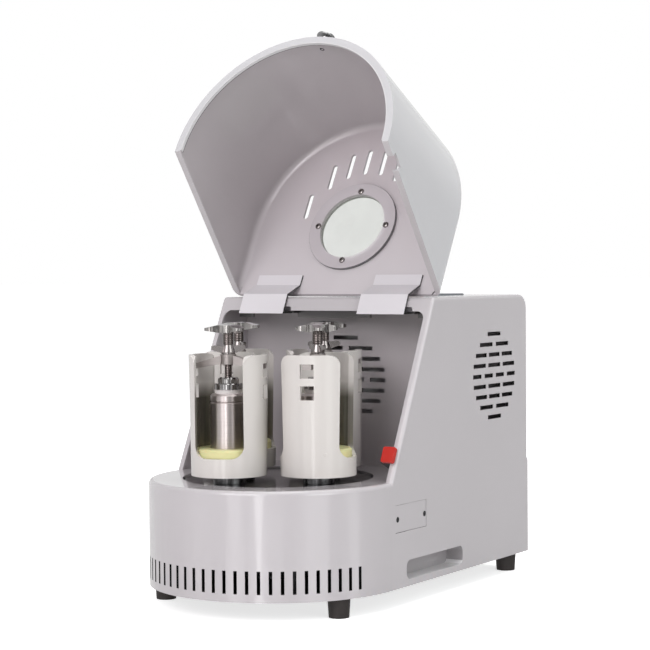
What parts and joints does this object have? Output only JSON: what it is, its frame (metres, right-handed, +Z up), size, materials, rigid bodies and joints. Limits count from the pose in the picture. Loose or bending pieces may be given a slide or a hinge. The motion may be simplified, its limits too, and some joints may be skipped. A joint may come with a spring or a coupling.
{
  "type": "planetary ball mill",
  "caption": "Bench planetary ball mill: half round drum and rear housing, vented lid with a round window, a sun disk with geared jar stations and screw clamps.",
  "frame": {"origin": "middle of the footprint at the underside of the feet", "axes": "+Z up, -Y towards the user, +X to the user's right; lid stored open"},
  "size_m": [0.3, 0.5, 0.6622],
  "materials": {
    "housing_paint": "satin powder coat",
    "lid_paint": "smooth powder coat",
    "bulkhead_paint": "matt powder coat",
    "seat_paint": "satin powder coat",
    "disk_paint": "satin dark coat",
    "plate_steel": "zinc plated sheet",
    "shaft_steel": "machined",
    "jar_steel": "finely turned",
    "cap_steel": "polished dark steel",
    "wheel_chrome": "polished",
    "bearing_iron": "machined casting",
    "motor_paint": "gloss enamel",
    "feet_rubber": "matt",
    "belt_rubber": "matt",
    "edging_rubber": "matt",
    "adaptor_plastic": "machined, pale yellow",
    "red_plastic": "smooth",
    "black_plastic": "fine grain",
    "keypad_film": "smooth film",
    "window_glass": "clear acrylic sheet",
    "knob_steel": "polished"
  },
  "bodies": {
    "housing": {"housing_shell": "housing_paint", "rear_panel": "housing_paint", "chamber_bulkhead": "bulkhead_paint", "base_frame": "plate_steel", "feet": "feet_rubber", "access_plate": "housing_paint", "hinge_bracket": "plate_steel", "interlock_switch": "black_plastic", "bearing_housing": "bearing_iron", "sun_gear": "shaft_steel", "motor": "motor_paint", "drive_belt": "belt_rubber", "control_panel": "keypad_film", "power_inlet": "black_plastic"},
    "lid": {"lid_shell": "lid_paint", "window_pane": "window_glass", "window_ring": "edging_rubber", "hinge_arms": "lid_paint", "lid_knob": "knob_steel"},
    "disk": {"sun_disk": "disk_paint", "main_shaft": "shaft_steel"},
    "motor_rotor": {"motor_pulley": "shaft_steel"},
    "interlock_cap": {"interlock_button": "red_plastic"},
    "rocker": {"power_switch": "black_plastic"},
    "station_1": {"planet_gear_1": "shaft_steel", "jar_seat_1": "seat_paint", "cup_adaptor_1": "adaptor_plastic", "milling_jar_1": "jar_steel", "jar_cap_1": "cap_steel", "clamp_bar_1": "seat_paint"},
    "pad_1": {"pressure_pad_1": "jar_steel"},
    "screw_1": {"clamp_screw_1": "wheel_chrome"},
    "nut_1": {"lock_nut_1": "wheel_chrome"},
    "station_2": {"planet_gear_2": "shaft_steel", "jar_seat_2": "seat_paint", "cup_adaptor_2": "adaptor_plastic", "milling_jar_2": "jar_steel", "jar_cap_2": "cap_steel", "clamp_bar_2": "seat_paint"},
    "pad_2": {"pressure_pad_2": "jar_steel"},
    "screw_2": {"clamp_screw_2": "wheel_chrome"},
    "nut_2": {"lock_nut_2": "wheel_chrome"},
    "station_3": {"planet_gear_3": "shaft_steel", "jar_seat_3": "seat_paint", "cup_adaptor_3": "adaptor_plastic", "milling_jar_3": "jar_steel", "jar_cap_3": "cap_steel", "clamp_bar_3": "seat_paint"},
    "pad_3": {"pressure_pad_3": "jar_steel"},
    "screw_3": {"clamp_screw_3": "wheel_chrome"},
    "nut_3": {"lock_nut_3": "wheel_chrome"},
    "station_4": {"planet_gear_4": "shaft_steel", "jar_seat_4": "seat_paint", "cup_adaptor_4": "adaptor_plastic", "milling_jar_4": "jar_steel", "jar_cap_4": "cap_steel", "clamp_bar_4": "seat_paint"},
    "pad_4": {"pressure_pad_4": "jar_steel"},
    "screw_4": {"clamp_screw_4": "wheel_chrome"},
    "nut_4": {"lock_nut_4": "wheel_chrome"}
  },
  "joints": [
    {"name": "lid_hinge", "type": "hinge", "parent": "housing", "child": "lid", "pos_m": [0, 0.017, 0.336], "axis": [1, 0, 0], "range_deg": [0, 118.8]},
    {"name": "disk_spin", "type": "hinge", "parent": "housing", "child": "disk", "pos_m": [0, -0.1, 0.135], "axis": [0, 0, 1], "continuous": true},
    {"name": "motor_spin", "type": "hinge", "parent": "housing", "child": "motor_rotor", "pos_m": [0, 0.145, 0.05], "axis": [0, 0, 1], "continuous": true},
    {"name": "button_press", "type": "slide", "parent": "housing", "child": "interlock_cap", "axis": [0, 0.9, -0.4359], "range_m": [0, 0.003], "stiffness_N_per_m": 400, "springref_m": -0.002},
    {"name": "switch_rock", "type": "hinge", "parent": "housing", "child": "rocker", "pos_m": [-0.055, 0.243, 0.092], "axis": [1, 0, 0], "range_deg": [0, 12]},
    {"name": "station_spin_1", "type": "hinge", "parent": "disk", "child": "station_1", "pos_m": [-0.02081, -0.16893, 0.15], "axis": [0, 0, 1], "continuous": true},
    {"name": "pad_slide_1", "type": "slide", "parent": "station_1", "child": "pad_1", "axis": [0, 0, 1], "range_m": [0, 0.008]},
    {"name": "screw_turn_1", "type": "hinge", "parent": "pad_1", "child": "screw_1", "pos_m": [-0.02081, -0.16893, 0.3], "axis": [0, 0, 1], "range_deg": [0, 1440]},
    {"name": "nut_turn_1", "type": "hinge", "parent": "station_1", "child": "nut_1", "pos_m": [-0.02081, -0.16893, 0.294], "axis": [0, 0, 1], "range_deg": [0, 90]},
    {"name": "station_spin_2", "type": "hinge", "parent": "disk", "child": "station_2", "pos_m": [0.06893, -0.12081, 0.15], "axis": [0, 0, 1], "continuous": true},
    {"name": "pad_slide_2", "type": "slide", "parent": "station_2", "child": "pad_2", "axis": [0, 0, 1], "range_m": [0, 0.008]},
    {"name": "screw_turn_2", "type": "hinge", "parent": "pad_2", "child": "screw_2", "pos_m": [0.06893, -0.12081, 0.3], "axis": [0, 0, 1], "range_deg": [0, 1440]},
    {"name": "nut_turn_2", "type": "hinge", "parent": "station_2", "child": "nut_2", "pos_m": [0.06893, -0.12081, 0.294], "axis": [0, 0, 1], "range_deg": [0, 90]},
    {"name": "station_spin_3", "type": "hinge", "parent": "disk", "child": "station_3", "pos_m": [0.02081, -0.03107, 0.15], "axis": [0, 0, 1], "continuous": true},
    {"name": "pad_slide_3", "type": "slide", "parent": "station_3", "child": "pad_3", "axis": [0, 0, 1], "range_m": [0, 0.008]},
    {"name": "screw_turn_3", "type": "hinge", "parent": "pad_3", "child": "screw_3", "pos_m": [0.02081, -0.03107, 0.3], "axis": [0, 0, 1], "range_deg": [0, 1440]},
    {"name": "nut_turn_3", "type": "hinge", "parent": "station_3", "child": "nut_3", "pos_m": [0.02081, -0.03107, 0.294], "axis": [0, 0, 1], "range_deg": [0, 90]},
    {"name": "station_spin_4", "type": "hinge", "parent": "disk", "child": "station_4", "pos_m": [-0.06893, -0.07919, 0.15], "axis": [0, 0, 1], "continuous": true},
    {"name": "pad_slide_4", "type": "slide", "parent": "station_4", "child": "pad_4", "axis": [0, 0, 1], "range_m": [0, 0.008]},
    {"name": "screw_turn_4", "type": "hinge", "parent": "pad_4", "child": "screw_4", "pos_m": [-0.06893, -0.07919, 0.3], "axis": [0, 0, 1], "range_deg": [0, 1440]},
    {"name": "nut_turn_4", "type": "hinge", "parent": "station_4", "child": "nut_4", "pos_m": [-0.06893, -0.07919, 0.294], "axis": [0, 0, 1], "range_deg": [0, 90]}
  ],
  "couplings": [
    {"joint": "motor_spin", "follows": "disk_spin", "ratio": 2.831},
    {"joint": "station_spin_1", "follows": "disk_spin", "ratio": 1},
    {"joint": "pad_slide_1", "follows": "screw_turn_1", "m_per_rad": 0.00031831},
    {"joint": "station_spin_2", "follows": "disk_spin", "ratio": 1},
    {"joint": "pad_slide_2", "follows": "screw_turn_2", "m_per_rad": 0.00031831},
    {"joint": "station_spin_3", "follows": "disk_spin", "ratio": 1},
    {"joint": "pad_slide_3", "follows": "screw_turn_3", "m_per_rad": 0.00031831},
    {"joint": "station_spin_4", "follows": "disk_spin", "ratio": 1},
    {"joint": "pad_slide_4", "follows": "screw_turn_4", "m_per_rad": 0.00031831}
  ]
}
